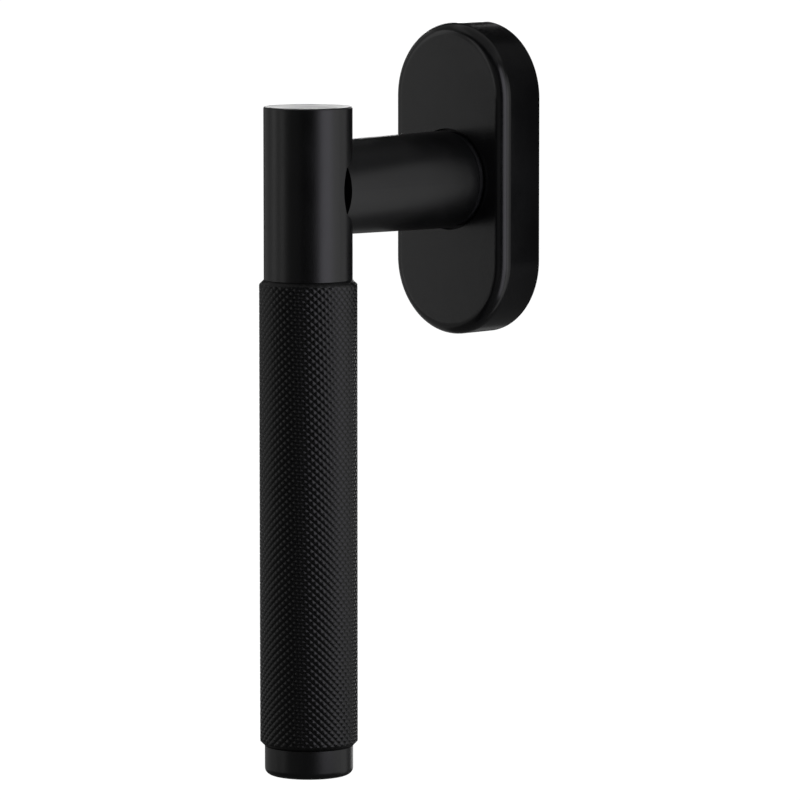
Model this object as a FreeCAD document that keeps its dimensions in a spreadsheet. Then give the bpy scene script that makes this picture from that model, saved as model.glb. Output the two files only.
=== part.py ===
"""Tilt and turn window handle: a round upright grip on a neck, over a rounded rosette.

Frame: +Z up, -Y towards the room, +X to the right for someone facing the window.
The origin is the middle of the rosette's mounting face, on the axis of the square spindle.
The handle is modelled closed, with its grip pointing down. Lengths are in millimetres.
"""
import FreeCAD, Part
import os
import Sketcher
from FreeCAD import Placement, Rotation, Vector

DRIVING_SIZES = {
    # grip, around its own upright axis
    "grip_standoff": 52.5,
    "bar_diameter": 18.0,
    "bar_top_height": 16.75,
    "bar_edge": 0.25,
    "knurl_top_drop": 18.15,
    "knurl_length": 95.2,
    "knurl_diameter": 19.9,
    "knurl_chamfer": 1.0,
    "core_diameter": 12.0,
    "cap_length": 5.9,
    "cap_rounding": 1.4,
    "stud_diameter": 8.0,
    "stud_in_core": 8.4,
    "stud_in_cap": 4.0,
    # joint between the neck and the grip
    "seat_radius": 9.85,
    "seat_offset": 0.95,
    "seat_bevel": 1.25,
    "neck_tip_offset": 2.95,
    "spigot_radius": 6.0,
    "spigot_length": 5.35,
    "grip_screw_diameter": 5.0,
    "grip_screw_length": 14.0,
    "grip_screw_head_radius": 4.25,
    "grip_screw_head_length": 3.5,
    "grip_screw_key": 3.0,
    "grip_washer_radius": 4.6,
    "grip_washer_thickness": 1.0,
    "dowel_diameter": 1.6,
    "dowel_reach": 7.3,
    "dowel_in_neck": 4.0,
    "dowel_in_bar": 3.0,
    # neck
    "neck_tip_radius": 9.5,
    "neck_foot_radius": 10.1,
    "neck_foot_gap": 0.7,
    "neck_foot_rounding": 0.6,
    "neck_web": 4.0,
    "shaft_radius": 7.0,
    "set_screw_diameter": 4.0,
    "set_screw_distance": 15.0,
    "set_screw_length": 5.5,
    "set_screw_key": 2.0,
    "set_screw_gap": 0.1,
    # drive sleeve and square spindle
    "sleeve_front": 26.0,
    "sleeve_back": 1.4,
    "drive_flat": 5.9,
    "ring_groove_radius": 6.2,
    "spindle_width": 7.0,
    "spindle_length": 40.0,
    "spindle_back": 0.5,
    "spindle_edge": 0.5,
    "spindle_play": 0.05,
    # rosette
    "rosette_half_width": 15.5,
    "rosette_half_height": 32.25,
    "rosette_depth": 11.2,
    "rosette_rounding": 2.4,
    "cover_wall": 1.3,
    "cover_rim_gap": 0.1,
    "cover_hole_radius": 10.5,
    "part_gap": 0.3,
    "screw_spacing": 43.0,
    "screw_hole_diameter": 5.2,
    "screw_head_radius": 4.8,
    "screw_head_depth": 4.6,
    "nub_diameter": 10.0,
    "nub_length": 3.0,
    # bearing and click mechanism
    "bush_radius": 8.5,
    "bush_flange_radius": 9.7,
    "bush_play": 0.05,
    "cavity_radius": 11.5,
    "cavity_floor": 6.4,
    "cam_half_width": 8.5,
    "cam_rounding": 5.8,
    "cam_front": 6.1,
    "cam_thickness": 3.1,
    "washer_thickness": 0.5,
    "washer_radius": 8.3,
    "ring_thickness": 0.7,
    "ring_outer_radius": 8.2,
    "ring_opening": 3.2,
    "spring_thickness": 0.6,
    "spring_play": 0.05,
    "spring_half_height": 12.0,
    "spring_width": 2.9,
    "spring_end_room": 0.2,
    # rear plate and cover clips
    "plate_half_width": 12.6,
    "plate_half_height": 17.2,
    "plate_thickness": 1.0,
    "plate_gap": 0.1,
    "plate_hole_radius": 5.6,
    "plate_screw_radius": 1.0,
    "plate_screw_head_radius": 1.8,
    "plate_screw_head_depth": 0.5,
    "plate_screw_length": 4.5,
    "plate_screw_side": 6.6,
    "plate_screw_height": 12.9,
    "clip_pocket_depth": 0.9,
    "clip_half_height": 4.0,
    "clip_front": 9.0,
    "clip_back": 2.0,
    "clip_thickness": 0.5,
    "clip_bump": 0.6,
    "clip_play": 0.1,
}

doc = FreeCAD.newDocument("TiltTurnHandle")
sheet = doc.addObject("Spreadsheet::Sheet", "Sizes")
for row, (alias, number) in enumerate(DRIVING_SIZES.items(), start=1):
    sheet.set("A%d" % row, alias)
    sheet.set("B%d" % row, str(number))
    sheet.setAlias("B%d" % row, alias)
doc.recompute()


class Size:
    """A number together with the spreadsheet formula that gives it."""

    def __init__(self, value, formula):
        self.value = value
        self.formula = formula

    def __add__(self, other):
        other = as_size(other)
        return Size(self.value + other.value, "(%s + %s)" % (self.formula, other.formula))

    def __sub__(self, other):
        other = as_size(other)
        return Size(self.value - other.value, "(%s - %s)" % (self.formula, other.formula))

    def __mul__(self, factor):
        return Size(self.value * factor, "(%s * %r)" % (self.formula, factor))

    def __neg__(self):
        return Size(-self.value, "(0 - %s)" % self.formula)


def as_size(number):
    """Wrap a plain number; a Size passes through."""
    return number if isinstance(number, Size) else Size(float(number), repr(float(number)))


def size(alias):
    """The cell of the sheet with this alias."""
    return Size(float(getattr(sheet, alias)), "Sizes." + alias)


def bind(target, path, amount):
    """Drive one property or constraint from the sheet."""
    target.setExpression(path, as_size(amount).formula)


def place(target, x=0, y=0, z=0, rotation=None):
    """Turn a sub-part, then put it where the sheet says."""
    target.Placement = Placement(Vector(0, 0, 0), rotation or Rotation())
    for letter, amount in zip("xyz", (x, y, z)):
        if isinstance(amount, Size) or amount:
            bind(target, ".Placement.Base." + letter, amount)


# Main levels along Y, measured from the mounting face towards the room.
bar_radius = size("bar_diameter") * 0.5
core_radius = size("core_diameter") * 0.5
stud_radius = size("stud_diameter") * 0.5
grip_screw_radius = size("grip_screw_diameter") * 0.5
set_screw_radius = size("set_screw_diameter") * 0.5
neck_tip_y = size("neck_tip_offset") - size("grip_standoff")
neck_foot_y = -(size("rosette_depth") + size("neck_foot_gap"))
web_back_y = neck_tip_y + size("neck_web")
spigot_end_y = neck_tip_y - size("spigot_length")
head_seat_y = web_back_y + size("grip_washer_thickness")
cam_back_y = size("cam_thickness") - size("cam_front")
ring_front_y = cam_back_y + size("washer_thickness")
ring_back_y = ring_front_y + size("ring_thickness")
spring_inner_x = size("cam_half_width") + size("spring_play")
cover_inner_half_width = size("rosette_half_width") - size("cover_wall")
cover_inner_half_height = size("rosette_half_height") - size("cover_wall")
cover_inner_depth = size("rosette_depth") - size("cover_wall")
base_half_width = cover_inner_half_width - size("part_gap")
base_half_height = cover_inner_half_height - size("part_gap")
base_depth = cover_inner_depth - size("part_gap")
plate_recess_depth = size("plate_thickness") + size("plate_gap")
screw_height = size("screw_spacing") * 0.5


def new_body(label):
    """An empty PartDesign body whose label is the sub-part's name."""
    body = doc.addObject("PartDesign::Body", "Body_" + label)
    body.Label = label
    return body


def new_sketch(body, role, offset=0):
    """A sketch on one of the body's own origin planes, moved along the plane's normal."""
    plane = [item for item in body.Origin.OriginFeatures if item.Role == role][0]
    sketch = body.newObject("Sketcher::SketchObject", "Sketch_" + body.Label)
    sketch.AttachmentSupport = (plane, [""])
    sketch.MapMode = "FlatFace"
    if isinstance(offset, Size) or offset:
        bind(sketch, ".AttachmentOffset.Base.z", offset)
    return sketch


def constrain(sketch, amount, kind, *elements):
    """Add a dimension whose value comes from the sheet."""
    amount = as_size(amount)
    index = sketch.addConstraint(Sketcher.Constraint(kind, *elements, amount.value))
    bind(sketch, "Constraints[%d]" % index, amount)


def fix_point(sketch, edge, end, across, up):
    """Hold one end of an edge at a place measured from the sketch's origin."""
    constrain(sketch, across, "DistanceX", -1, 1, edge, end)
    constrain(sketch, up, "DistanceY", -1, 1, edge, end)


def draw_outline(sketch, corners):
    """A closed outline of straight edges through corners given as (across, up)."""
    corners = [(as_size(across), as_size(up)) for across, up in corners]
    points = [Vector(across.value, up.value, 0) for across, up in corners]
    first = sketch.GeometryCount
    count = len(points)
    for index in range(count):
        sketch.addGeometry(Part.LineSegment(points[index], points[(index + 1) % count]), False)
    for index in range(count):
        after = first + (index + 1) % count
        sketch.addConstraint(Sketcher.Constraint("Coincident", first + index, 2, after, 1))
    for index, (across, up) in enumerate(corners):
        fix_point(sketch, first + index, 1, across, up)


def draw_circle(sketch, radius, across=0, up=0):
    """A circle about a point of the sketch."""
    radius, across, up = as_size(radius), as_size(across), as_size(up)
    circle = Part.Circle(Vector(across.value, up.value, 0), Vector(0, 0, 1), radius.value)
    edge = sketch.addGeometry(circle, False)
    fix_point(sketch, edge, 3, across, up)
    constrain(sketch, radius, "Radius", edge)


def draw_box(sketch, half_width, half_height, across=0, up=0):
    """A rectangle about a point of the sketch."""
    half_width, half_height = as_size(half_width), as_size(half_height)
    across, up = as_size(across), as_size(up)
    left, right = across - half_width, across + half_width
    low, high = up - half_height, up + half_height
    draw_outline(sketch, [(left, low), (right, low), (right, high), (left, high)])


def draw_stadium(sketch, half_width, half_height):
    """An upright outline with straight sides and half-round ends, about the origin."""
    half_width, half_height = as_size(half_width), as_size(half_height)
    centre = half_height - half_width
    reach, level = half_width.value, centre.value
    up = Vector(0, 0, 1)
    top = Part.Circle(Vector(0, level, 0), up, reach)
    bottom = Part.Circle(Vector(0, -level, 0), up, reach)
    half_turn = 3.141592653589793
    first = sketch.GeometryCount
    sketch.addGeometry(Part.ArcOfCircle(top, 0, half_turn), False)
    sketch.addGeometry(Part.LineSegment(Vector(-reach, level, 0), Vector(-reach, -level, 0)), False)
    sketch.addGeometry(Part.ArcOfCircle(bottom, half_turn, 2 * half_turn), False)
    sketch.addGeometry(Part.LineSegment(Vector(reach, -level, 0), Vector(reach, level, 0)), False)
    for index in range(4):
        after = first + (index + 1) % 4
        sketch.addConstraint(Sketcher.Constraint("Coincident", first + index, 2, after, 1))
    for arc, level_size, side in ((first, centre, 1), (first + 2, -centre, -1)):
        fix_point(sketch, arc, 3, 0, level_size)
        fix_point(sketch, arc, 1, half_width * side, level_size)
        constrain(sketch, level_size, "DistanceY", -1, 1, arc, 2)


def volume_of(feature):
    """Volume after the latest feature."""
    doc.recompute()
    return feature.Shape.Volume


def revolve(body, role, corners):
    """A solid of revolution about the sketch's upright axis."""
    sketch = new_sketch(body, role)
    draw_outline(sketch, corners)
    solid = body.newObject("PartDesign::Revolution", "Turned")
    solid.Profile = (sketch, [""])
    solid.ReferenceAxis = (sketch, ["V_Axis"])
    solid.Angle = 360
    return solid


def turn_out(body, corners):
    """Cut away a solid of revolution about the Y axis; corners are (along the axis, away)."""
    before = volume_of(body)
    sketch = new_sketch(body, "YZ_Plane")
    draw_outline(sketch, corners)
    cut = body.newObject("PartDesign::Groove", "Seat")
    cut.Profile = (sketch, [""])
    cut.ReferenceAxis = (sketch, ["H_Axis"])
    cut.Angle = 360
    if not volume_of(body) < before - 1e-3:
        raise RuntimeError("a groove of %s cuts nothing" % body.Label)


def pad(body, sketch, length, reverse=False):
    """Add material from a sketch along its normal, or the other way."""
    solid = body.newObject("PartDesign::Pad", "Pad")
    solid.Profile = (sketch, [""])
    solid.Reversed = reverse
    bind(solid, "Length", length)
    return solid


def pocket(body, sketch, depth, along_normal=True):
    """Cut away material along the sketch's normal, or the other way, and make sure it cut."""
    before = volume_of(body)
    cut = body.newObject("PartDesign::Pocket", "Pocket")
    cut.Profile = (sketch, [""])
    cut.Reversed = along_normal
    bind(cut, "Length", depth)
    if not volume_of(body) < before - 1e-3:
        raise RuntimeError("a pocket of %s cuts nothing" % body.Label)
    return cut


def dress(body, kind, amount, wanted):
    """Round (Fillet) or bevel (Chamfer) the edges of the body that pass a test."""
    doc.recompute()
    base = body.Tip
    names = [
        "Edge%d" % (index + 1)
        for index, edge in enumerate(base.Shape.Edges)
        if wanted(edge)
    ]
    if not names:
        raise RuntimeError("no edge to dress on %s" % body.Label)
    feature = body.newObject("PartDesign::" + kind, kind)
    feature.Base = (base, names)
    bind(feature, "Radius" if kind == "Fillet" else "Size", amount)
    return feature


def on_level(axis, level, tolerance=1e-4):
    """A test for edges that lie wholly at one level of an axis (0, 1 or 2)."""

    def wanted(edge):
        box = edge.BoundBox
        low = (box.XMin, box.YMin, box.ZMin)[axis]
        high = (box.XMax, box.YMax, box.ZMax)[axis]
        return abs(low - level) < tolerance and abs(high - level) < tolerance

    return wanted


def along_y(edge):
    """A test for edges that run from front to back."""
    box = edge.BoundBox
    return box.YLength > 1e-3 and box.XLength < 1e-3 and box.ZLength < 1e-3


parts = []


def finish(target, label, **where):
    """Name a sub-part, place it and keep it for export."""
    target.Label = label
    place(target, **where)
    parts.append(target)


# ---------------------------------------------------------------- grip

def make_grip_bar():
    """Upright bar: a plain head, a thinner core under the sleeve, a seat for the neck."""
    body = new_body("grip_bar")
    top = size("bar_top_height")
    shoulder = -size("knurl_top_drop")
    foot = shoulder - size("knurl_length")
    edge = size("bar_edge")
    hole_end = foot + size("stud_in_core")
    revolve(body, "XZ_Plane", [
        (0, top), (bar_radius - edge, top), (bar_radius, top - edge), (bar_radius, shoulder),
        (core_radius, shoulder), (core_radius, foot), (stud_radius, foot),
        (stud_radius, hole_end), (0, hole_end),
    ])
    # The round seat, the spigot hole and the screw hole are bored from the sash side.
    seat = size("seat_radius")
    floor = size("seat_offset")
    turn_out(body, [
        (floor, 0), (floor, seat - size("seat_bevel")), (floor + size("seat_bevel"), seat),
        (bar_radius + 1, seat), (bar_radius + 1, 0),
    ])
    spigot_depth = size("grip_standoff") + spigot_end_y
    bore = new_sketch(body, "XZ_Plane", -spigot_depth)
    draw_circle(bore, size("spigot_radius"))
    pocket(body, bore, size("bar_diameter"), along_normal=False)
    thread_end = size("grip_standoff") + head_seat_y - size("grip_screw_length") - size("part_gap")
    thread = new_sketch(body, "XZ_Plane", -thread_end)
    draw_circle(thread, grip_screw_radius)
    pocket(body, thread, size("bar_diameter"), along_normal=False)
    dowel_end = size("seat_offset") - size("dowel_in_bar")
    dowels = new_sketch(body, "XZ_Plane", -dowel_end)
    draw_circle(dowels, size("dowel_diameter") * 0.5, 0, size("dowel_reach"))
    draw_circle(dowels, size("dowel_diameter") * 0.5, 0, -size("dowel_reach"))
    pocket(body, dowels, size("bar_diameter"), along_normal=False)
    finish(body, "grip_bar", y=-size("grip_standoff"))


def make_knurled_sleeve():
    """Grip sleeve pushed over the core, with bevelled ends."""
    body = new_body("knurled_sleeve")
    length = size("knurl_length")
    outer = size("knurl_diameter") * 0.5
    bevel = size("knurl_chamfer")
    revolve(body, "XZ_Plane", [
        (core_radius, 0), (outer - bevel, 0), (outer, -bevel), (outer, bevel - length),
        (outer - bevel, -length), (core_radius, -length),
    ])
    finish(body, "knurled_sleeve", y=-size("grip_standoff"), z=-size("knurl_top_drop"))


def make_end_cap():
    """Lower cap that clamps the sleeve against the bar's shoulder."""
    body = new_body("end_cap")
    length = size("cap_length")
    hole = -(size("stud_in_cap") + size("part_gap"))
    revolve(body, "XZ_Plane", [
        (stud_radius, 0), (bar_radius, 0), (bar_radius, -length), (0, -length),
        (0, hole), (stud_radius, hole),
    ])
    dress(body, "Fillet", size("cap_rounding"), on_level(2, -length.value))
    finish(body, "end_cap", y=-size("grip_standoff"),
           z=-(size("knurl_top_drop") + size("knurl_length")))


def make_end_cap_stud():
    """Headless stud that joins the cap to the core."""
    stud = doc.addObject("Part::Cylinder", "Stud")
    bind(stud, "Radius", stud_radius)
    bind(stud, "Height", size("stud_in_core") + size("stud_in_cap"))
    foot = -(size("knurl_top_drop") + size("knurl_length") + size("stud_in_cap"))
    finish(stud, "end_cap_stud", y=-size("grip_standoff"), z=foot)


# ---------------------------------------------------------------- neck

def make_neck():
    """Tapered tube from the grip to the rosette, with a web and a spigot at the grip's end."""
    body = new_body("neck")
    clearance = grip_screw_radius + size("part_gap") * 0.5
    revolve(body, "XY_Plane", [
        (clearance, spigot_end_y), (size("spigot_radius"), spigot_end_y),
        (size("spigot_radius"), neck_tip_y), (size("neck_tip_radius"), neck_tip_y),
        (size("neck_foot_radius"), neck_foot_y), (size("shaft_radius"), neck_foot_y),
        (size("shaft_radius"), web_back_y), (clearance, web_back_y),
    ])
    foot = on_level(1, neck_foot_y.value)

    def outer_foot(edge):
        return foot(edge) and edge.BoundBox.XLength > 2 * size("shaft_radius").value + 1

    dress(body, "Fillet", size("neck_foot_rounding"), outer_foot)
    set_hole = new_sketch(body, "XY_Plane")
    draw_circle(set_hole, set_screw_radius, 0, -size("set_screw_distance"))
    pocket(body, set_hole, size("neck_foot_radius"), along_normal=False)
    dowels = new_sketch(body, "XZ_Plane", -neck_tip_y)
    draw_circle(dowels, size("dowel_diameter") * 0.5, 0, size("dowel_reach"))
    draw_circle(dowels, size("dowel_diameter") * 0.5, 0, -size("dowel_reach"))
    pocket(body, dowels, size("dowel_in_neck"), along_normal=False)
    finish(body, "neck")


def make_neck_screw():
    """Cap screw inside the neck that pulls the grip onto the spigot."""
    body = new_body("neck_screw")
    head = size("grip_screw_head_length")
    revolve(body, "XY_Plane", [
        (0, -size("grip_screw_length")), (grip_screw_radius, -size("grip_screw_length")),
        (grip_screw_radius, 0), (size("grip_screw_head_radius"), 0),
        (size("grip_screw_head_radius"), head), (0, head),
    ])
    key = new_sketch(body, "XZ_Plane", -head)
    draw_circle(key, size("grip_screw_key") * 0.5)
    pocket(body, key, head * 0.5, along_normal=True)
    finish(body, "neck_screw", y=head_seat_y)


def make_neck_screw_washer():
    """Washer under the head of the neck screw."""
    body = new_body("neck_screw_washer")
    clearance = grip_screw_radius + size("part_gap") * 0.5
    thickness = size("grip_washer_thickness")
    revolve(body, "XY_Plane", [
        (clearance, 0), (size("grip_washer_radius"), 0),
        (size("grip_washer_radius"), thickness), (clearance, thickness),
    ])
    finish(body, "neck_screw_washer", y=web_back_y)


def make_grip_dowels():
    """Two dowels that keep the neck from turning in the grip."""
    pins = []
    for side in (1, -1):
        pin = doc.addObject("Part::Cylinder", "Dowel")
        bind(pin, "Radius", size("dowel_diameter") * 0.5)
        reach = size("neck_tip_offset") - size("seat_offset")
        bind(pin, "Height", reach + size("dowel_in_neck") + size("dowel_in_bar"))
        place(pin, z=size("dowel_reach") * side, rotation=Rotation(Vector(1, 0, 0), -90))
        pins.append(pin)
    group = doc.addObject("Part::Compound", "Dowels")
    group.Links = pins
    start = size("seat_offset") - size("grip_standoff") - size("dowel_in_bar")
    finish(group, "grip_dowels", y=start)


def make_drive_sleeve():
    """Steel sleeve pressed into the neck: square hole, bearing, drive flats, ring groove."""
    body = new_body("drive_sleeve")
    front = -size("sleeve_front")
    back = -size("sleeve_back")
    bore = size("spindle_width") * 0.25
    shaft = size("shaft_radius")
    groove = size("ring_groove_radius")
    revolve(body, "XY_Plane", [
        (bore, front), (shaft, front), (shaft, ring_front_y), (groove, ring_front_y),
        (groove, ring_back_y), (shaft, ring_back_y), (shaft, back), (bore, back),
    ])
    square = new_sketch(body, "XZ_Plane", size("sleeve_front"))
    half = size("spindle_width") * 0.5 + size("spindle_play")
    draw_box(square, half, half)
    pocket(body, square, size("sleeve_front"), along_normal=False)
    flats = new_sketch(body, "XZ_Plane")
    for side in (1, -1):
        beyond = size("drive_flat") + shaft
        draw_box(flats, shaft, shaft, beyond * side, 0)
    pocket(body, flats, size("cam_front"), along_normal=True)
    set_hole = new_sketch(body, "XY_Plane")
    draw_circle(set_hole, set_screw_radius, 0, -size("set_screw_distance"))
    pocket(body, set_hole, shaft, along_normal=False)
    finish(body, "drive_sleeve")


def make_spindle_set_screw():
    """Grub screw under the neck that locks the square spindle."""
    body = new_body("spindle_set_screw")
    top = -(size("spindle_width") * 0.5 + size("set_screw_gap"))
    length = size("set_screw_length")
    bevel = size("spindle_edge")
    revolve(body, "XZ_Plane", [
        (0, 0), (set_screw_radius - bevel, 0), (set_screw_radius, -bevel),
        (set_screw_radius, -length), (0, -length),
    ])
    key = new_sketch(body, "XY_Plane", -length)
    draw_circle(key, size("set_screw_key") * 0.5)
    pocket(body, key, length * 0.5, along_normal=True)
    finish(body, "spindle_set_screw", y=-size("set_screw_distance"), z=top)


def make_spindle():
    """Square spindle, stored inside the neck and drawn out to meet the window's gear."""
    body = new_body("spindle")
    section = new_sketch(body, "XZ_Plane")
    half = size("spindle_width") * 0.5
    draw_box(section, half, half)
    pad(body, section, size("spindle_length"))
    ends = (on_level(1, 0.0), on_level(1, -size("spindle_length").value))
    dress(body, "Chamfer", size("spindle_edge"), lambda edge: any(end(edge) for end in ends))
    finish(body, "spindle", y=-size("spindle_back"))


# ---------------------------------------------------------------- rosette

def make_rosette_cover():
    """Visible shell of the rosette: rounded front edge and a round hole for the neck."""
    body = new_body("rosette_cover")
    outline = new_sketch(body, "XZ_Plane", size("cover_rim_gap"))
    draw_stadium(outline, size("rosette_half_width"), size("rosette_half_height"))
    pad(body, outline, size("rosette_depth") - size("cover_rim_gap"))
    front = -size("rosette_depth").value
    dress(body, "Fillet", size("rosette_rounding"), on_level(1, front))
    hollow = new_sketch(body, "XZ_Plane")
    draw_stadium(hollow, cover_inner_half_width, cover_inner_half_height)
    pocket(body, hollow, cover_inner_depth, along_normal=True)
    inner = on_level(1, -cover_inner_depth.value)
    dress(body, "Fillet", size("rosette_rounding") - size("cover_wall"), inner)
    opening = new_sketch(body, "XZ_Plane")
    draw_circle(opening, size("cover_hole_radius"))
    pocket(body, opening, size("rosette_depth"), along_normal=True)
    finish(body, "rosette_cover")


def make_base_plate():
    """Cast base that is screwed to the sash and holds the bearing and the click mechanism."""
    body = new_body("base_plate")
    outline = new_sketch(body, "XZ_Plane")
    draw_stadium(outline, base_half_width, base_half_height)
    pad(body, outline, base_depth)
    corner = size("rosette_rounding") - size("cover_wall") + size("part_gap")
    dress(body, "Chamfer", corner, on_level(1, -base_depth.value))
    nubs = new_sketch(body, "XZ_Plane")
    draw_circle(nubs, size("nub_diameter") * 0.5, 0, screw_height)
    draw_circle(nubs, size("nub_diameter") * 0.5, 0, -screw_height)
    pad(body, nubs, size("nub_length"), reverse=True)
    holes = new_sketch(body, "XZ_Plane", base_depth)
    draw_circle(holes, size("screw_hole_diameter") * 0.5, 0, screw_height)
    draw_circle(holes, size("screw_hole_diameter") * 0.5, 0, -screw_height)
    pocket(body, holes, base_depth + size("nub_length"), along_normal=False)
    heads = new_sketch(body, "XZ_Plane", base_depth)
    draw_circle(heads, size("screw_head_radius"), 0, screw_height)
    draw_circle(heads, size("screw_head_radius"), 0, -screw_height)
    pocket(body, heads, size("screw_head_depth"), along_normal=False)
    bearing = new_sketch(body, "XZ_Plane", base_depth)
    draw_circle(bearing, size("bush_radius"))
    pocket(body, bearing, base_depth, along_normal=False)
    cavity = new_sketch(body, "XZ_Plane")
    draw_circle(cavity, size("cavity_radius"))
    pocket(body, cavity, size("cavity_floor"), along_normal=True)
    slots = new_sketch(body, "XZ_Plane")
    half_slot = size("spring_thickness") * 0.5 + size("spring_play")
    for side in (1, -1):
        draw_box(slots, half_slot, size("spring_half_height") + size("spring_end_room"),
                 (size("cam_half_width") + half_slot) * side, 0)
    pocket(body, slots, size("cavity_floor"), along_normal=True)
    recess = new_sketch(body, "XZ_Plane")
    draw_stadium(recess, size("plate_half_width"), size("plate_half_height"))
    pocket(body, recess, plate_recess_depth, along_normal=True)
    threads = new_sketch(body, "XZ_Plane")
    for across, up in plate_screw_places():
        draw_circle(threads, size("plate_screw_radius"), across, up)
    pocket(body, threads, size("plate_screw_length") + size("part_gap"), along_normal=True)
    pockets = new_sketch(body, "XZ_Plane", size("clip_back"))
    for side in (1, -1):
        half_depth = size("clip_pocket_depth") * 0.5
        draw_box(pockets, half_depth, size("clip_half_height"),
                 (base_half_width - half_depth) * side, 0)
    pocket(body, pockets, base_depth, along_normal=True)
    finish(body, "base_plate")


def plate_screw_places():
    """Places (across, up) of the four small screws in the rear plate."""
    return [
        (size("plate_screw_side") * side, size("plate_screw_height") * end)
        for side in (1, -1)
        for end in (1, -1)
    ]


def make_bearing_bush():
    """Flanged nylon bush: the lever's sleeve turns in it, and its flange parts the neck."""
    body = new_body("bearing_bush")
    bore = size("shaft_radius") + size("bush_play")
    flange_front = neck_foot_y + size("clip_play")
    revolve(body, "XY_Plane", [
        (bore, flange_front), (size("bush_flange_radius"), flange_front),
        (size("bush_flange_radius"), -base_depth), (size("bush_radius"), -base_depth),
        (size("bush_radius"), -size("cavity_floor")), (bore, -size("cavity_floor")),
    ])
    finish(body, "bearing_bush")


def make_click_cam():
    """Square cam with rounded corners on the sleeve's flats: it clicks every quarter turn."""
    body = new_body("click_cam")
    blank = new_sketch(body, "XZ_Plane", -cam_back_y)
    draw_box(blank, size("cam_half_width"), size("cam_half_width"))
    pad(body, blank, size("cam_thickness"))
    dress(body, "Fillet", size("cam_rounding"), along_y)
    drive = new_sketch(body, "XZ_Plane", -cam_back_y)
    draw_drive_hole(drive)
    pocket(body, drive, size("cam_thickness"), along_normal=True)
    finish(body, "click_cam")


def draw_drive_hole(sketch):
    """Two arcs of the shaft's radius joined by the two drive flats."""
    radius = size("shaft_radius").value
    flat = size("drive_flat").value
    rise = (radius * radius - flat * flat) ** 0.5
    shaft = Part.Circle(Vector(0, 0, 0), Vector(0, 0, 1), radius)
    corners = [Vector(flat, rise, 0), Vector(-flat, rise, 0),
               Vector(-flat, -rise, 0), Vector(flat, -rise, 0)]
    first = sketch.GeometryCount
    for start, end in ((0, 1), (2, 3)):
        from_angle = shaft.parameter(corners[start])
        to_angle = shaft.parameter(corners[end])
        sketch.addGeometry(Part.ArcOfCircle(shaft, from_angle, to_angle), False)
        after = corners[(end + 1) % 4]
        sketch.addGeometry(Part.LineSegment(corners[end], after), False)
    for index in range(4):
        after = first + (index + 1) % 4
        sketch.addConstraint(Sketcher.Constraint("Coincident", first + index, 2, after, 1))
    for arc in (first, first + 2):
        sketch.addConstraint(Sketcher.Constraint("Coincident", arc, 3, -1, 1))
        constrain(sketch, size("shaft_radius"), "Radius", arc)
    for flat_edge, side in ((first + 1, -1), (first + 3, 1)):
        sketch.addConstraint(Sketcher.Constraint("Vertical", flat_edge))
        constrain(sketch, size("drive_flat") * side, "DistanceX", -1, 1, flat_edge, 1)


def make_cam_washer():
    """Thin washer between the click cam and the retaining ring."""
    body = new_body("cam_washer")
    bore = size("shaft_radius") + size("bush_play")
    outer = size("washer_radius")
    revolve(body, "XY_Plane", [
        (bore, cam_back_y), (outer, cam_back_y), (outer, ring_front_y), (bore, ring_front_y),
    ])
    finish(body, "cam_washer")


def make_retaining_ring():
    """Open spring ring in the sleeve's groove that keeps the lever in the base."""
    body = new_body("retaining_ring")
    revolve(body, "XY_Plane", [
        (size("ring_groove_radius"), ring_front_y), (size("ring_outer_radius"), ring_front_y),
        (size("ring_outer_radius"), ring_back_y), (size("ring_groove_radius"), ring_back_y),
    ])
    opening = new_sketch(body, "XZ_Plane", -ring_back_y)
    draw_box(opening, size("ring_opening") * 0.5, size("ring_outer_radius") * 0.5,
             0, -size("ring_outer_radius"))
    pocket(body, opening, size("ring_thickness"), along_normal=True)
    finish(body, "retaining_ring")


def make_click_spring(side):
    """Flat spring that lies along one side of the cam; side is 1 right, -1 left."""
    name = "right" if side > 0 else "left"
    flip = Rotation() if side > 0 else Rotation(Vector(0, 0, 1), 180)
    strip = doc.addObject("Part::Box", "Spring")
    bind(strip, "Length", size("spring_thickness"))
    bind(strip, "Width", size("spring_width"))
    bind(strip, "Height", size("spring_half_height") * 2)
    middle_y = cam_back_y - size("cam_thickness") * 0.5
    finish(strip, "click_spring_" + name, x=spring_inner_x * side,
           y=middle_y - size("spring_width") * (0.5 * side),
           z=-size("spring_half_height"), rotation=flip)


def make_rear_plate():
    """Sheet that closes the back of the click mechanism."""
    body = new_body("rear_plate")
    outline = new_sketch(body, "XZ_Plane", size("plate_gap"))
    draw_stadium(outline, size("plate_half_width") - size("bush_play"),
                 size("plate_half_height") - size("bush_play"))
    pad(body, outline, size("plate_thickness"))
    hole = new_sketch(body, "XZ_Plane")
    draw_circle(hole, size("plate_hole_radius"))
    for across, up in plate_screw_places():
        draw_circle(hole, size("plate_screw_radius"), across, up)
    pocket(body, hole, plate_recess_depth, along_normal=True)
    heads = new_sketch(body, "XZ_Plane")
    for across, up in plate_screw_places():
        draw_circle(heads, size("plate_screw_head_radius"), across, up)
    pocket(body, heads, size("plate_gap") + size("plate_screw_head_depth"), along_normal=True)
    finish(body, "rear_plate")


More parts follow.
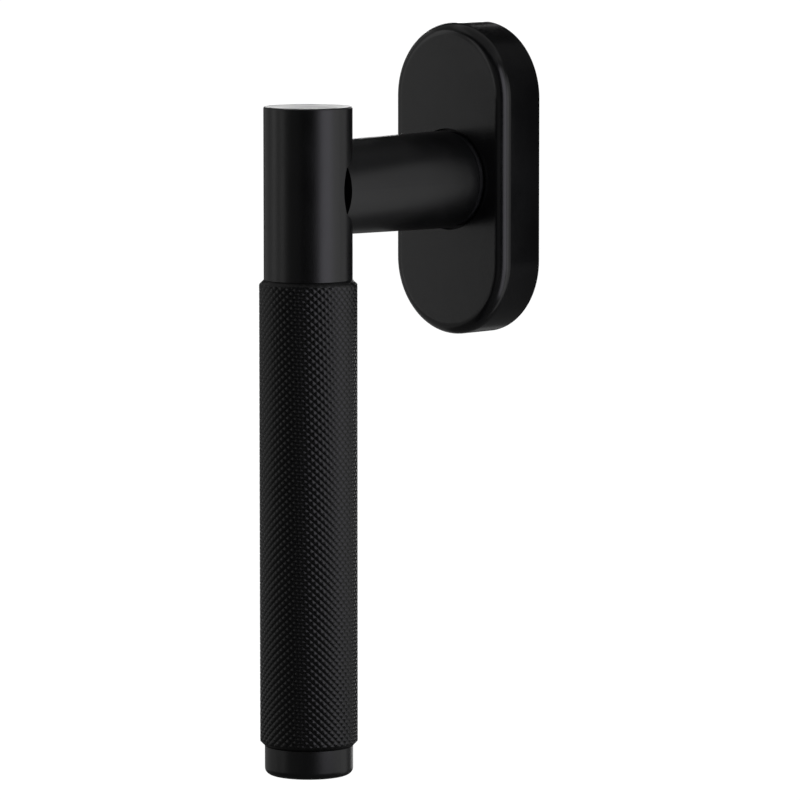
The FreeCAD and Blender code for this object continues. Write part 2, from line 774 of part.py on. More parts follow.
def make_rear_plate_screws():
    """Four small flat-headed screws that hold the rear plate."""
    screws = []
    for across, up in plate_screw_places():
        shank = doc.addObject("Part::Cylinder", "Shank")
        bind(shank, "Radius", size("plate_screw_radius"))
        bind(shank, "Height", size("plate_screw_length") - size("plate_gap"))
        head = doc.addObject("Part::Cylinder", "Head")
        bind(head, "Radius", size("plate_screw_head_radius"))
        bind(head, "Height", size("plate_screw_head_depth"))
        screw = doc.addObject("Part::Fuse", "Screw")
        screw.Base = shank
        screw.Tool = head
        place(screw, x=across, z=up, rotation=Rotation(Vector(1, 0, 0), 90))
        screws.append(screw)
    group = doc.addObject("Part::Compound", "Screws")
    group.Links = screws
    finish(group, "rear_plate_screws", y=-size("plate_gap"))


def make_cover_clip(side):
    """Spring strip in the base's side that grips the cover; side is 1 right, -1 left."""
    name = "right" if side > 0 else "left"
    flip = Rotation() if side > 0 else Rotation(Vector(0, 0, 1), 180)
    length = size("clip_front") - size("clip_back") - size("clip_play") * 2
    half_height = size("clip_half_height") - size("clip_play")
    strip = doc.addObject("Part::Box", "Strip")
    bind(strip, "Length", size("clip_thickness"))
    bind(strip, "Width", length)
    bind(strip, "Height", half_height * 2)
    place(strip, y=-length * 0.5, z=-half_height)
    bump = doc.addObject("Part::Cylinder", "Bump")
    bind(bump, "Radius", size("clip_bump"))
    bind(bump, "Height", half_height * 2)
    place(bump, x=size("clip_thickness"), z=-half_height)
    ridge = doc.addObject("Part::Box", "Front")
    bind(ridge, "Length", size("clip_bump") + size("clip_thickness"))
    bind(ridge, "Width", size("clip_bump") * 2)
    bind(ridge, "Height", half_height * 2)
    place(ridge, y=-size("clip_bump"), z=-half_height)
    rounded = doc.addObject("Part::Common", "Ridge")
    rounded.Base = bump
    rounded.Tool = ridge
    clip = doc.addObject("Part::Fuse", "Clip")
    clip.Base = strip
    clip.Tool = rounded
    middle = (size("clip_front") + size("clip_back")) * 0.5
    across = (base_half_width - size("clip_pocket_depth")) * side
    finish(clip, "cover_clip_" + name, x=across, y=-middle, rotation=flip)


make_grip_bar()
make_knurled_sleeve()
make_end_cap()
make_end_cap_stud()
make_neck()
make_neck_screw()
make_neck_screw_washer()
make_grip_dowels()
make_drive_sleeve()
make_spindle_set_screw()
make_spindle()
make_rosette_cover()
make_base_plate()
make_bearing_bush()
make_click_cam()
make_cam_washer()
make_retaining_ring()
for side in (1, -1):
    make_click_spring(side)
make_rear_plate()
make_rear_plate_screws()
for side in (1, -1):
    make_cover_clip(side)

doc.recompute()
for item in doc.Objects:
    if "Invalid" in item.State or "Error" in item.State:
        raise RuntimeError("%s (%s) did not recompute" % (item.Label, item.Name))
for part in parts:
    if part.Shape.isNull() or not part.Shape.isValid():
        raise RuntimeError("%s has no valid shape" % part.Label)

os.makedirs("parts", exist_ok=True)
for part in parts:
    part.Shape.exportStep("parts/%s.step" % part.Label)
    box = part.Shape.BoundBox
    print("%-24s solids %d volume %9.2f  x %7.2f %7.2f  y %7.2f %7.2f  z %8.2f %8.2f" % (
        part.Label, len(part.Shape.Solids), part.Shape.Volume,
        box.XMin, box.XMax, box.YMin, box.YMax, box.ZMin, box.ZMax))
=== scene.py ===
"""Looks of the tilt and turn window handle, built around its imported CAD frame.

Frame: +Z up, -Y towards the room, +X to the right for someone facing the window. Metres.
"""
import math

import bmesh
import bpy
from mathutils import Euler, Matrix, Vector


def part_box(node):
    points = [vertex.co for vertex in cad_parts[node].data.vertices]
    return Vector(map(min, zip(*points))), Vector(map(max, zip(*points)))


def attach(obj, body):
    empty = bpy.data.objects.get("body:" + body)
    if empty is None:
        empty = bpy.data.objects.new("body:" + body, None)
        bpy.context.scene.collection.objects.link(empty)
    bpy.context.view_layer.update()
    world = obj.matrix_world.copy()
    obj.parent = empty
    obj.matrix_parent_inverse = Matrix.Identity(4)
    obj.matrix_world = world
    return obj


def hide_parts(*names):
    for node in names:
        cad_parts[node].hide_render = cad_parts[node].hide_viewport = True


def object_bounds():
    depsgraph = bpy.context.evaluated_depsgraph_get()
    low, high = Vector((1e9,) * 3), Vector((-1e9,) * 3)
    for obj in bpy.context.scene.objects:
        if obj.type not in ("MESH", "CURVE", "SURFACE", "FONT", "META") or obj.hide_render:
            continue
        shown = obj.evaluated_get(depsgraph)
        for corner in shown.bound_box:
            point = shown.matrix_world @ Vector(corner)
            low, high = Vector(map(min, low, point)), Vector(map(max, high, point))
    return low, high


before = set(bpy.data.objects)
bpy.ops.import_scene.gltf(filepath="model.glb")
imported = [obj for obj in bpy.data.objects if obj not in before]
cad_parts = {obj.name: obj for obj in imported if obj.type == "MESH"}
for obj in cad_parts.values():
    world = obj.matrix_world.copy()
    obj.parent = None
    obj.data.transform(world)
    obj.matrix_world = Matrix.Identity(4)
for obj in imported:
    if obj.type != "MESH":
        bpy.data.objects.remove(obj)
cad_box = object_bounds()

MM = 0.001

# Camera: solved from outline points of the photograph, then rounded. Angles in degrees,
# distances in metres, sensor and lens in millimetres.
CAMERA_AZIMUTH = 42.58
CAMERA_DISTANCE = 1.211
CAMERA_HEIGHT = 0.0845
CAMERA_YAW = 0.83
CAMERA_PITCH = -6.19
SENSOR_WIDTH = 36.0
LENS = 262.2
NEAR_CLIP = 0.05
FAR_CLIP = 50

# Knurl: two sets of helical grooves that cross, counted around the sleeve
RISING_GROOVES = 34
RISING_PITCH = 1.528 * MM
FALLING_GROOVES = 39
FALLING_PITCH = 1.437 * MM
KNURL_DEPTH = 0.26 * MM
CREST_SHARE = 0.46
KNURL_BEVEL = 1.0 * MM
SLEEVE_BORE = 6.05 * MM
GROOVE_ANGLE = 70
CUT_TOLERANCE = 1e-7
LEVEL_TOLERANCE = 1e-6

# Rear plate screws, with a cross recess in the head
SCREW_SIDES = 40
SCREW_RADIUS = 1.0 * MM
SCREW_HEAD_RADIUS = 1.8 * MM
SCREW_HEAD_DEPTH = 0.5 * MM
SCREW_EDGE = 0.08 * MM
CROSS_ARM = 1.05 * MM
CROSS_HALF_WIDTH = 0.22 * MM
CROSS_DEPTH = 0.35 * MM
CROSS_FLOOR_SHARE = 0.7

# Finishes: colours, how tool lines stretch along each axis, roughness and relief
BLACK = (0.0040, 0.0041, 0.0044)
COVER_BLACK = (0.0045, 0.0046, 0.0049)
CASTING_DARK = (0.020, 0.020, 0.021)
CASTING_LIGHT = (0.045, 0.045, 0.047)
NYLON_DARK = (0.008, 0.008, 0.009)
NYLON_LIGHT = (0.016, 0.016, 0.017)
STEEL_DARK = (0.36, 0.36, 0.35)
STEEL_LIGHT = (0.60, 0.60, 0.59)
ZINC_DARK = (0.45, 0.46, 0.48)
ZINC_LIGHT = (0.70, 0.71, 0.73)
OILED_DARK = (0.035, 0.034, 0.034)
OILED_LIGHT = (0.075, 0.073, 0.072)
SPRING_DARK = (0.20, 0.21, 0.24)
SPRING_LIGHT = (0.34, 0.35, 0.38)
FLOOR_DARK = (0.91, 0.91, 0.91)
FLOOR_PALE = (0.93, 0.93, 0.93)
TURNED = (300, 14000, 300)
DRAWN = (9000, 500, 9000)
ROLLED = (9000, 9000, 600)
SATIN_ROUGHNESS = 0.31
COVER_ROUGHNESS = 0.20
TURNED_ROUGHNESS = 0.30
DRAWN_ROUGHNESS = 0.34
PLATED_ROUGHNESS = 0.42
OILED_ROUGHNESS = 0.38
SPRING_ROUGHNESS = 0.30
KNURL_SHINE = 0.41
COATING_GRAIN = 2600
COATING_RELIEF = 0.012 * MM
PEEL_RELIEF = 0.03 * MM
TOOL_LINE_RELIEF = 0.004 * MM

# Stage: lengths in metres, sun in watts per square metre
FLOOR_GAP = 0.035
FLOOR_REACH = 6.0
FLOOR_LIGHT = 3.6
FLOOR_LIGHT_SPREAD = 50
WORLD_FILL = 0.01
STUDIO_MIDDLE = Vector((0, -0.03, -0.045))
STUDIO_REACH = 0.9
TOWARDS_LEFT = Vector((-1, 0, 0))
TOWARDS_ROOM = Vector((0, -1, 0))
UPWARDS = Vector((0, 0, 1))
DOWNWARDS = Vector((0, 0, -1))
WHITE = (1, 1, 1)
COOL = (0.99, 0.97, 1.07)

# Softboxes round the handle: name, azimuth, elevation, width, height, watts, colour.
# Least-squares fits of trial lamps to the photograph's brightness were the starting point for
# these and the panels; the values were then changed, comparing renders with it.
SOFTBOXES = (
    ("window_left_far", -85, 11, 0.84, 0.7, 0.46, WHITE),
    ("window_left", -52, 11, 0.25, 0.7, 0.43, WHITE),
    ("window_left_near", -26, 8, 0.20, 0.7, 0.35, WHITE),
    ("window_left_high", -75, 48, 1.0, 0.6, 0.32, WHITE),
    ("window_right_high", 100, 45, 0.8, 0.6, 0.15, WHITE),
    ("window_front_left", -26, 8, 0.60, 0.7, 0.24, WHITE),
    ("window_front", 9, 8, 0.52, 0.7, 0.11, WHITE),
    ("window_right", 85, 8, 0.72, 0.7, 0.58, COOL),
    ("window_right_behind", 162, 8, 0.75, 0.7, 0.08, WHITE),
    ("window_high_behind", 154, 45, 0.6, 0.5, 0.06, WHITE),
    ("window_behind", 202, 5, 0.45, 0.7, 0.9, WHITE),
    ("window_behind_low", 222, 9, 0.25, 0.06, 0.32, WHITE),
)

# Panels at set places: name, middle, facing, width, height, watts, colour
PANELS = (
    ("wall_glow", Vector((0.088, 0, -0.06)), TOWARDS_ROOM, 0.124, 0.18, 0.036, WHITE),
    ("wall_right", Vector((0.085, 0, -0.06)), TOWARDS_ROOM, 0.03, 0.18, 0.048, WHITE),
    ("side_front", Vector((0.1, -0.05, -0.015)), TOWARDS_LEFT, 0.06, 0.23, 0.048, COOL),
    ("side_back", Vector((0.1, 0, -0.015)), TOWARDS_LEFT, 0.04, 0.23, 0.012, WHITE),
    ("floor_glow", Vector((0, 0.05, -0.15)), UPWARDS, 1.4, 1.4, 0.42, WHITE),
    ("ceiling_glow", Vector((0, 0, 0.75)), DOWNWARDS, 1.2, 1.2, 1.0, WHITE),
    ("floor_glow_left", Vector((-0.42, -0.15, -0.15)), UPWARDS, 0.6, 0.8, 0.25, WHITE),
)


# ---------------------------------------------------------------- node helpers

class Nodes:
    """Builds one material's node tree."""

    def __init__(self, name):
        self.material = bpy.data.materials.new(name)
        self.material.use_nodes = True
        self.tree = self.material.node_tree
        self.tree.nodes.clear()
        self.shader = self.add("ShaderNodeBsdfPrincipled")
        output = self.add("ShaderNodeOutputMaterial")
        self.link(self.shader.outputs["BSDF"], output.inputs["Surface"])
        self.place = self.add("ShaderNodeTexCoord").outputs["Object"]

    def add(self, kind, **settings):
        node = self.tree.nodes.new(kind)
        for name, value in settings.items():
            setattr(node, name, value)
        return node

    def link(self, source, target):
        self.tree.links.new(source, target)

    def stretch(self, scale):
        """The place on the object, scaled by a different number along each axis."""
        mapping = self.add("ShaderNodeMapping")
        mapping.inputs["Scale"].default_value = scale
        self.link(self.place, mapping.inputs["Vector"])
        return mapping.outputs["Vector"]

    def noise(self, scale, detail=3.0, roughness=0.5, stretch=(1, 1, 1)):
        """Noise whose features are about 1/scale metres across."""
        node = self.add("ShaderNodeTexNoise")
        node.inputs["Scale"].default_value = scale
        node.inputs["Detail"].default_value = detail
        node.inputs["Roughness"].default_value = roughness
        self.link(self.stretch(stretch), node.inputs["Vector"])
        return node.outputs["Fac"]

    def cells(self, scale):
        """Cellular grain, from 0 at a cell's centre."""
        node = self.add("ShaderNodeTexVoronoi")
        node.inputs["Scale"].default_value = scale
        self.link(self.place, node.inputs["Vector"])
        return node.outputs["Distance"]

    def remap(self, value, low, high, to_low, to_high):
        node = self.add("ShaderNodeMapRange")
        for name, number in (("From Min", low), ("From Max", high),
                             ("To Min", to_low), ("To Max", to_high)):
            node.inputs[name].default_value = number
        self.link(value, node.inputs["Value"])
        return node.outputs["Result"]

    def calculate(self, first, second, operation="ADD"):
        """Two values or outputs joined by a sum, or by another operation."""
        node = self.add("ShaderNodeMath", operation=operation)
        for socket, value in zip(node.inputs, (first, second)):
            if isinstance(value, (int, float)):
                socket.default_value = value
            else:
                self.link(value, socket)
        return node.outputs[0]

    def blend(self, factor, first, second):
        """Two colours mixed by a factor."""
        node = self.add("ShaderNodeMix", data_type="RGBA")
        self.link(factor, node.inputs[0])
        node.inputs[6].default_value = (*first, 1.0)
        node.inputs[7].default_value = (*second, 1.0)
        return node.outputs[2]

    def bump(self, height, distance, strength, under=None):
        """Relief of a given height, on top of another relief if there is one."""
        node = self.add("ShaderNodeBump")
        node.inputs["Distance"].default_value = distance
        node.inputs["Strength"].default_value = strength
        self.link(height, node.inputs["Height"])
        if under is not None:
            self.link(under, node.inputs["Normal"])
        return node.outputs["Normal"]

    def finish(self, colour, roughness, normal, metallic=0.0, specular=0.5):
        self.link(colour, self.shader.inputs["Base Color"])
        self.link(roughness, self.shader.inputs["Roughness"])
        self.link(normal, self.shader.inputs["Normal"])
        self.shader.inputs["Metallic"].default_value = metallic
        self.shader.inputs["Specular IOR Level"].default_value = specular
        return self.material


# ---------------------------------------------------------------- materials

def black_coating(name, tone, gloss):
    """Satin black coating: fine orange peel, faint handling marks, a little uneven."""
    n = Nodes(name)
    cloud = n.noise(90, 4.0, 0.55)
    grain = n.noise(COATING_GRAIN, 2.0, 0.6)
    marks = n.noise(260, 5.0, 0.65, (1, 1, 0.35))
    deep = tuple(channel * 0.85 for channel in tone)
    light = tuple(channel * 1.35 for channel in tone)
    colour = n.blend(n.remap(cloud, 0.35, 0.65, 0, 1), deep, light)
    rough = n.calculate(n.remap(cloud, 0.3, 0.7, gloss - 0.025, gloss + 0.025),
                        n.remap(marks, 0.45, 0.75, 0.0, 0.05))
    rough = n.calculate(rough, n.remap(grain, 0.3, 0.7, -0.02, 0.02))
    normal = n.bump(grain, COATING_RELIEF, 0.5)
    normal = n.bump(n.noise(520, 2.0), PEEL_RELIEF, 0.12, normal)
    return n.finish(colour, rough, normal)


def knurled_coating(name, tone, gloss):
    """The same coating over a knurl, with a painted highlight on the crests and painted shade in
    the grooves.
    """
    n = Nodes(name)
    low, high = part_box("knurled_sleeve")
    parts = n.add("ShaderNodeSeparateXYZ")
    n.link(n.place, parts.inputs[0])
    across = n.calculate(parts.outputs["X"], -(low[0] + high[0]) / 2)
    away = n.calculate(parts.outputs["Y"], -(low[1] + high[1]) / 2)
    square = n.calculate(n.calculate(across, 2.0, "POWER"), n.calculate(away, 2.0, "POWER"))
    reach = n.calculate(square, 0.5, "POWER")
    tip = (high[0] - low[0]) / 2
    rise = n.remap(reach, tip - KNURL_DEPTH, tip, 0, 1)
    grain = n.noise(COATING_GRAIN, 2.0, 0.6)
    # Painted light: crests are painted up to 1.9 times lighter, unevenly, as a painted highlight;
    # grooves and flanks are painted darker as painted shade.
    crest_highlight_groove_shade = n.calculate(n.remap(rise, 0.75, 1.0, 0, 1),
                       n.remap(n.noise(420, 4.0), 0.35, 0.7, 0.35, 1), "MULTIPLY")
    deep = tuple(channel * 0.7 for channel in tone)
    light = tuple(channel * 1.9 for channel in tone)
    colour = n.blend(crest_highlight_groove_shade, deep, light)
    rough = n.calculate(n.remap(rise, 0.0, 1.0, gloss + 0.10, gloss - 0.04),
                        n.remap(grain, 0.3, 0.7, -0.03, 0.03))
    return n.finish(colour, rough, n.bump(grain, COATING_RELIEF, 0.5), specular=KNURL_SHINE)


def cast_zinc(name):
    """Blackened die casting: fine grain, flow marks, dull patches."""
    n = Nodes(name)
    cloud = n.noise(160, 5.0, 0.6)
    grain = n.noise(1800, 3.0, 0.6)
    colour = n.blend(n.remap(cloud, 0.3, 0.7, 0, 1), CASTING_DARK, CASTING_LIGHT)
    rough = n.remap(n.noise(300, 4.0), 0.3, 0.7, 0.42, 0.60)
    normal = n.bump(grain, 0.03 * MM, 0.5)
    normal = n.bump(cloud, 0.05 * MM, 0.3, normal)
    return n.finish(colour, rough, normal, metallic=0.9)


def moulded_nylon(name):
    """Black nylon with the faint grain of a mould."""
    n = Nodes(name)
    cloud = n.noise(300, 3.0)
    colour = n.blend(n.remap(cloud, 0.3, 0.7, 0, 1), NYLON_DARK, NYLON_LIGHT)
    rough = n.remap(n.noise(900, 3.0), 0.3, 0.7, 0.45, 0.62)
    return n.finish(colour, rough, n.bump(n.noise(3200, 2.0), 0.01 * MM, 0.5))


def lined_steel(name, stretch, dark, light, gloss):
    """Steel with fine tool lines; stretch sets which way they run."""
    n = Nodes(name)
    lines = n.noise(1.0, 4.0, 0.65, stretch)
    cloud = n.noise(220, 4.0)
    colour = n.blend(n.remap(lines, 0.3, 0.7, 0, 1), dark, light)
    rough = n.calculate(n.remap(lines, 0.3, 0.7, gloss - 0.06, gloss + 0.08),
                        n.remap(cloud, 0.3, 0.7, -0.04, 0.06))
    return n.finish(colour, rough, n.bump(lines, TOOL_LINE_RELIEF, 0.4), metallic=1.0)


def plated_steel(name, dark, light, gloss):
    """Zinc plated steel: fine spangle and a slightly cloudy shine."""
    n = Nodes(name)
    spangle = n.cells(1100)
    cloud = n.noise(120, 3.0)
    grain = n.noise(2600, 2.0)
    tint = n.calculate(n.remap(spangle, 0.0, 0.8, 0.0, 0.35),
                       n.remap(cloud, 0.3, 0.7, 0.0, 0.65))
    colour = n.blend(tint, dark, light)
    rough = n.remap(cloud, 0.3, 0.7, gloss + 0.06, gloss - 0.04)
    return n.finish(colour, rough, n.bump(grain, 0.003 * MM, 0.3), metallic=1.0)


satin = black_coating("satin_black_coating", BLACK, SATIN_ROUGHNESS)
cover = black_coating("cover_black_coating", COVER_BLACK, COVER_ROUGHNESS)
knurled = knurled_coating("knurled_black_coating", BLACK, SATIN_ROUGHNESS)
zinc = cast_zinc("blackened_cast_zinc")
nylon = moulded_nylon("moulded_nylon")
turned = lined_steel("turned_steel_lines", TURNED, STEEL_DARK, STEEL_LIGHT, TURNED_ROUGHNESS)
drawn = lined_steel("drawn_steel_lines", DRAWN, STEEL_DARK, STEEL_LIGHT, DRAWN_ROUGHNESS)
plated = plated_steel("zinc_plated_spangle", ZINC_DARK, ZINC_LIGHT, PLATED_ROUGHNESS)
oiled = lined_steel("oil_black_lines", TURNED, OILED_DARK, OILED_LIGHT, OILED_ROUGHNESS)
spring = lined_steel("spring_strip_lines", ROLLED, SPRING_DARK, SPRING_LIGHT, SPRING_ROUGHNESS)

NODE_MATERIALS = {
    "grip_bar": satin,
    "knurled_sleeve": knurled,
    "end_cap": satin,
    "neck": satin,
    "rosette_cover": cover,
    "base_plate": zinc,
    "bearing_bush": nylon,
    "drive_sleeve": turned,
    "click_cam": turned,
    "spindle": drawn,
    "end_cap_stud": plated,
    "neck_screw": plated,
    "neck_screw_washer": plated,
    "grip_dowels": plated,
    "cam_washer": plated,
    "rear_plate": plated,
    "rear_plate_screws": oiled,
    "spindle_set_screw": oiled,
    "retaining_ring": oiled,
    "click_spring_right": spring,
    "click_spring_left": spring,
    "cover_clip_right": spring,
    "cover_clip_left": spring,
}

for node_name, material in NODE_MATERIALS.items():
    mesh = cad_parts[node_name].data
    mesh.materials.clear()
    mesh.materials.append(material)


# ---------------------------------------------------------------- pieces

def new_piece(name, bm, material, body, slot, *nodes):
    """Make a bmesh a piece that stands for some CAD nodes and rides on a body."""
    bmesh.ops.recalc_face_normals(bm, faces=bm.faces)
    mesh = bpy.data.meshes.new(name)
    bm.to_mesh(mesh)
    bm.free()
    mesh.materials.append(material)
    piece = bpy.data.objects.new(name, mesh)
    bpy.context.scene.collection.objects.link(piece)
    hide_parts(*nodes)
    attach(piece, body)


def knurl_place(rising, falling):
    """Turns around and height where a rising and a falling groove line cross."""
    height = ((falling + FALLING_GROOVES * rising / RISING_GROOVES)
              / (FALLING_GROOVES / (RISING_GROOVES * RISING_PITCH) + 1 / FALLING_PITCH))
    turns = (height / RISING_PITCH - rising) / RISING_GROOVES
    return turns, height


def knurl_lattice(bm, axis, foot, length, tip):
    """Diamonds between the crossing grooves, each a pyramid with a small flat crest."""
    root = tip - KNURL_DEPTH
    made = {}

    def vertex(rising, falling, radius):
        turns, height = knurl_place(rising, falling)
        angle = math.tau * turns
        return bm.verts.new((axis.x + radius * math.sin(angle),
                             axis.y - radius * math.cos(angle), foot + height))

    def crossing(rising, falling):
        """One shared vertex per crossing, whichever turn it is counted from."""
        turn = rising // RISING_GROOVES
        key = (rising - turn * RISING_GROOVES, falling + turn * FALLING_GROOVES)
        if key not in made:
            made[key] = vertex(*key, root)
        return made[key]

    rises = math.ceil(length / RISING_PITCH) + 2
    falls = math.ceil(length / FALLING_PITCH) + FALLING_GROOVES + 2
    for rising in range(-RISING_GROOVES - 2, rises):
        for falling in range(-2, falls):
            turns, height = knurl_place(rising + 0.5, falling + 0.5)
            if not 0 <= turns < 1 or not -RISING_PITCH < height < length + RISING_PITCH:
                continue
            sides = ((0, 0), (1, 0), (1, 1), (0, 1))
            corners = [crossing(rising + a, falling + b) for a, b in sides]
            inset = (1 - CREST_SHARE) / 2
            crest = [vertex(rising + inset + a * CREST_SHARE, falling + inset + b * CREST_SHARE,
                            tip) for a, b in sides]
            bm.faces.new(crest)
            for index in range(4):
                after = (index + 1) % 4
                bm.faces.new((corners[index], corners[after], crest[after], crest[index]))


def make_knurled_sleeve():
    """The sleeve with its real diamond knurl, which runs out in the bevelled ends."""
    low, high = (Vector(corner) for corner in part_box("knurled_sleeve"))
    axis = (low + high) / 2
    tip = (high.x - low.x) / 2
    bm = bmesh.new()
    knurl_lattice(bm, axis, low.z, high.z - low.z, tip)
    bevel_end = KNURL_BEVEL - KNURL_DEPTH
    for end_z, side in ((high.z, 1), (low.z, -1)):
        for inside in (KNURL_BEVEL, KNURL_BEVEL - KNURL_DEPTH / 2, bevel_end):
            bmesh.ops.bisect_plane(
                bm, geom=bm.verts[:] + bm.edges[:] + bm.faces[:], dist=CUT_TOLERANCE,
                plane_co=(0, 0, end_z - side * inside), plane_no=(0, 0, side),
                clear_outer=inside == bevel_end)
        for v in bm.verts:
            inside = side * (end_z - v.co.z)
            limit = tip - max(KNURL_BEVEL - inside, 0)
            offset = Vector((v.co.x - axis.x, v.co.y - axis.y))
            if offset.length > limit:
                offset = offset.normalized() * limit
                v.co.x, v.co.y = axis.x + offset.x, axis.y + offset.y
    rims = []
    for end_z, side in ((high.z, 1), (low.z, -1)):
        level = end_z - side * bevel_end
        edges = [e for e in bm.edges
                 if e.is_boundary and all(abs(v.co.z - level) < LEVEL_TOLERANCE for v in e.verts)]
        for radius in (tip - KNURL_BEVEL, SLEEVE_BORE):
            added = bmesh.ops.extrude_edge_only(bm, edges=edges)["geom"]
            edges = [item for item in added if isinstance(item, bmesh.types.BMEdge)]
            for v in {v for e in edges for v in e.verts}:
                offset = Vector((v.co.x - axis.x, v.co.y - axis.y)).normalized() * radius
                v.co = (axis.x + offset.x, axis.y + offset.y, end_z)
        rims += edges
    bmesh.ops.bridge_loops(bm, edges=rims)
    bmesh.ops.recalc_face_normals(bm, faces=bm.faces)
    for face in bm.faces:
        face.smooth = True
    for edge in bm.edges:
        edge.smooth = edge.calc_face_angle(0) < math.radians(GROOVE_ANGLE)
    new_piece("knurled_sleeve_cut", bm, knurled, "lever", "knurled_black",
              "knurled_sleeve")


def ring(bm, middle, radius, y):
    """A ring of vertices round an axis along Y."""
    corners = []
    for step in range(SCREW_SIDES):
        angle = math.tau * step / SCREW_SIDES
        corners.append(bm.verts.new((middle.x + radius * math.cos(angle), y,
                                     middle.z + radius * math.sin(angle))))
    return corners


def wall_between(bm, first, second):
    """Quads that join two loops with the same number of vertices."""
    for index, corner in enumerate(first):
        after = (index + 1) % len(first)
        bm.faces.new((corner, first[after], second[after], second[index]))


def cross_outline(bm, middle, y, shrink):
    """Twelve vertices round a cross; shrink narrows it towards its floor."""
    arm, half = CROSS_ARM * shrink, CROSS_HALF_WIDTH * shrink
    corners = []
    for quarter in range(4):
        turn = Matrix.Rotation(math.radians(90 * quarter), 2)
        for spot in ((arm, -half), (arm, half), (half, half)):
            x, z = turn @ Vector(spot)
            corners.append(bm.verts.new((middle.x + x, y, middle.z + z)))
    return corners


def cross_head_screw(bm, middle, back, tip):
    """A flat-headed screw along Y whose head faces the window."""
    rim = ring(bm, middle, SCREW_HEAD_RADIUS - SCREW_EDGE, back)
    levels = [rim, ring(bm, middle, SCREW_HEAD_RADIUS, back - SCREW_EDGE),
              ring(bm, middle, SCREW_HEAD_RADIUS, back - SCREW_HEAD_DEPTH),
              ring(bm, middle, SCREW_RADIUS, back - SCREW_HEAD_DEPTH),
              ring(bm, middle, SCREW_RADIUS, tip)]
    for first, second in zip(levels, levels[1:]):
        wall_between(bm, first, second)
    bm.faces.new(levels[-1])
    mouth = cross_outline(bm, middle, back, 1)
    floor_outline = cross_outline(bm, middle, back - CROSS_DEPTH, CROSS_FLOOR_SHARE)
    wall_between(bm, mouth, floor_outline)
    bm.faces.new(floor_outline)
    around = [bm.edges.get((loop[i], loop[(i + 1) % len(loop)]))
              for loop in (rim, mouth) for i in range(len(loop))]
    bmesh.ops.triangle_fill(bm, use_beauty=True, use_dissolve=False, edges=around,
                            normal=(0, 1, 0))


def make_rear_plate_screws():
    """The four screws of the rear plate, each with a real cross recess."""
    low, high = (Vector(corner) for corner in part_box("rear_plate_screws"))
    bm = bmesh.new()
    for x in (low.x + SCREW_HEAD_RADIUS, high.x - SCREW_HEAD_RADIUS):
        for z in (low.z + SCREW_HEAD_RADIUS, high.z - SCREW_HEAD_RADIUS):
            cross_head_screw(bm, Vector((x, 0, z)), high.y, low.y)
    new_piece("rear_plate_screws_cut", bm, oiled, "rosette", "blackened_steel",
              "rear_plate_screws")


make_knurled_sleeve()
make_rear_plate_screws()


# ---------------------------------------------------------------- stage

def direction(azimuth, elevation):
    """Unit vector from the object towards a place; azimuth 0 is the room side, 90 the right."""
    a, e = math.radians(azimuth), math.radians(elevation)
    return Vector((math.sin(a) * math.cos(e), -math.cos(a) * math.cos(e), math.sin(e)))


def make_camera():
    data = bpy.data.cameras.new("camera")
    data.sensor_width = SENSOR_WIDTH
    data.lens = LENS
    data.clip_start = NEAR_CLIP
    data.clip_end = FAR_CLIP
    camera = bpy.data.objects.new("camera", data)
    camera.location = direction(CAMERA_AZIMUTH, 0) * CAMERA_DISTANCE
    camera.location.z = CAMERA_HEIGHT
    heading = math.radians(CAMERA_AZIMUTH + CAMERA_YAW)
    camera.rotation_euler = Euler((math.radians(90 + CAMERA_PITCH), 0, heading))
    bpy.context.scene.collection.objects.link(camera)
    bpy.context.scene.camera = camera


def make_panel(name, place, facing, width, height, power, colour):
    """A soft rectangular panel that shines on the handle and not on the floor."""
    data = bpy.data.lights.new(name, "AREA")
    data.shape = "RECTANGLE"
    data.size = width
    data.size_y = height
    data.energy = power
    data.color = colour
    lamp = bpy.data.objects.new(name, data)
    lamp.location = place
    lamp.rotation_euler = facing.to_track_quat("-Z", "Y").to_euler()
    lamp.visible_camera = False
    bpy.context.scene.collection.objects.link(lamp)
    lamp.light_linking.receiver_collection = not_the_floor


def make_softbox(name, azimuth, elevation, width, height, power, colour):
    """A panel at a distance that faces the middle of the handle."""
    away = direction(azimuth, elevation)
    place = STUDIO_MIDDLE + away * STUDIO_REACH
    make_panel(name, place, -away, width, height, power, colour)


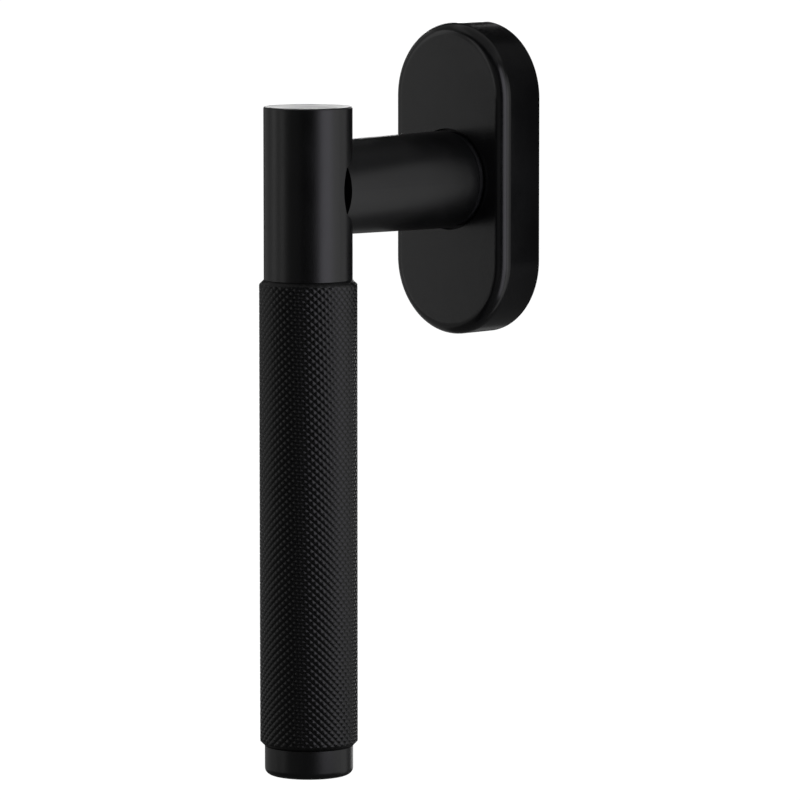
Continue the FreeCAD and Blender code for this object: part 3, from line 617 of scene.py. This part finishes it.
def make_floor():
    """A plain pale floor below the handle."""
    level = cad_box[0].z - FLOOR_GAP
    bm = bmesh.new()
    corners = [bm.verts.new((FLOOR_REACH * x, FLOOR_REACH * y, level))
               for x, y in ((-1, -1), (1, -1), (1, 1), (-1, 1))]
    bm.faces.new(corners)
    mesh = bpy.data.meshes.new("floor")
    bm.to_mesh(mesh)
    bm.free()
    n = Nodes("pale_floor")
    cloud = n.noise(3, 3.0)
    colour = n.blend(n.remap(cloud, 0.3, 0.7, 0, 1), FLOOR_DARK, FLOOR_PALE)
    mesh.materials.append(n.finish(colour, n.remap(cloud, 0.3, 0.7, 0.85, 0.95),
                                   n.bump(n.noise(400), 0.02 * MM, 0.2), specular=0.1))
    floor = bpy.data.objects.new("floor", mesh)
    floor.visible_glossy = False
    floor.visible_diffuse = False
    bpy.context.scene.collection.objects.link(floor)
    return floor


def group_with(name, thing, state):
    """A light's receivers: only one thing, or everything else."""
    group = bpy.data.collections.new(name)
    group.objects.link(thing)
    group.collection_objects[0].light_linking.link_state = state
    return group


def make_floor_light(floor):
    """Even light from far overhead that only the floor receives."""
    data = bpy.data.lights.new("overhead", "SUN")
    data.energy = FLOOR_LIGHT
    data.angle = math.radians(FLOOR_LIGHT_SPREAD)
    lamp = bpy.data.objects.new("overhead", data)
    bpy.context.scene.collection.objects.link(lamp)
    lamp.light_linking.receiver_collection = group_with("floor_only", floor, "INCLUDE")


def make_world():
    world = bpy.data.worlds.new("studio")
    world.use_nodes = True
    tree = world.node_tree
    tree.nodes.clear()
    output = tree.nodes.new("ShaderNodeOutputWorld")
    seen = tree.nodes.new("ShaderNodeBackground")
    seen.inputs["Color"].default_value = (1, 1, 1, 1)
    seen.inputs["Strength"].default_value = 1.0
    fill = tree.nodes.new("ShaderNodeBackground")
    fill.inputs["Color"].default_value = (0.95, 0.97, 1, 1)
    fill.inputs["Strength"].default_value = WORLD_FILL
    path = tree.nodes.new("ShaderNodeLightPath")
    mix = tree.nodes.new("ShaderNodeMixShader")
    tree.links.new(path.outputs["Is Camera Ray"], mix.inputs["Fac"])
    tree.links.new(fill.outputs[0], mix.inputs[1])
    tree.links.new(seen.outputs[0], mix.inputs[2])
    tree.links.new(mix.outputs[0], output.inputs["Surface"])
    bpy.context.scene.world = world


make_camera()
make_world()
floor = make_floor()
make_floor_light(floor)
not_the_floor = group_with("not_the_floor", floor, "EXCLUDE")
for softbox in SOFTBOXES:
    make_softbox(*softbox)
for panel in PANELS:
    make_panel(*panel)
bpy.context.scene.view_settings.view_transform = "Standard"
